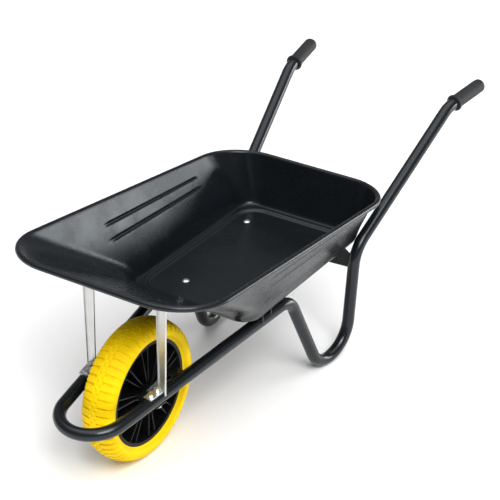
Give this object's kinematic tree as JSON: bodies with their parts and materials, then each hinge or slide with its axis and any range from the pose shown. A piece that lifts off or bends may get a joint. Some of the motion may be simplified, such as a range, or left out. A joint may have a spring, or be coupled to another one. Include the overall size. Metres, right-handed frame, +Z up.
{
  "type": "wheelbarrow",
  "caption": "Builder's wheelbarrow with a deep pressed tray on a bent tube frame, rubber grips, two channel struts and a single yellow-tyred front wheel that spins on its axle.",
  "frame": {"origin": "centre of the bounding box at ground level, where the wheel and both feet of the frame stand", "axes": "+Z up, the wheel leads towards -Y and the handles end towards +Y, +X is the left of the user standing between the handles"},
  "size_m": [0.577, 1.5046, 0.6037],
  "materials": {
    "painted_steel_tray": "smooth satin grey paint on pressed sheet steel",
    "painted_steel_frame": "satin dark grey powder coat",
    "galvanised": "bright zinc plating",
    "plated_steel": "zinc plated fastener steel",
    "grip_rubber": "matt moulded rubber",
    "yellow_tyre": "matt yellow tyre compound",
    "black_plastic": "black moulded plastic",
    "bush_plastic": "natural nylon"
  },
  "bodies": {
    "chassis": {"tray": "painted_steel_tray", "frame_tube": "painted_steel_frame", "front_cross_member": "painted_steel_frame", "rear_cross_brace": "painted_steel_frame", "left_strut": "galvanised", "right_strut": "galvanised", "left_axle_bracket": "painted_steel_frame", "right_axle_bracket": "painted_steel_frame", "axle": "plated_steel", "axle_spacers": "plated_steel", "axle_washers": "plated_steel", "axle_nuts": "plated_steel", "left_grip": "grip_rubber", "right_grip": "grip_rubber", "rail_bolts": "plated_steel", "rail_washers": "plated_steel", "rail_nuts": "plated_steel", "wall_bolts": "plated_steel", "wall_washers": "plated_steel", "wall_nuts": "plated_steel", "floor_bolts": "plated_steel", "floor_washers": "plated_steel", "floor_nuts": "plated_steel"},
    "wheel": {"tyre": "yellow_tyre", "wheel_rim": "black_plastic", "hub_bushes": "bush_plastic"}
  },
  "joints": [
    {"name": "wheel_spin", "type": "hinge", "parent": "chassis", "child": "wheel", "pos_m": [0, -0.487, 0.18], "axis": [1, 0, 0], "continuous": true}
  ]
}
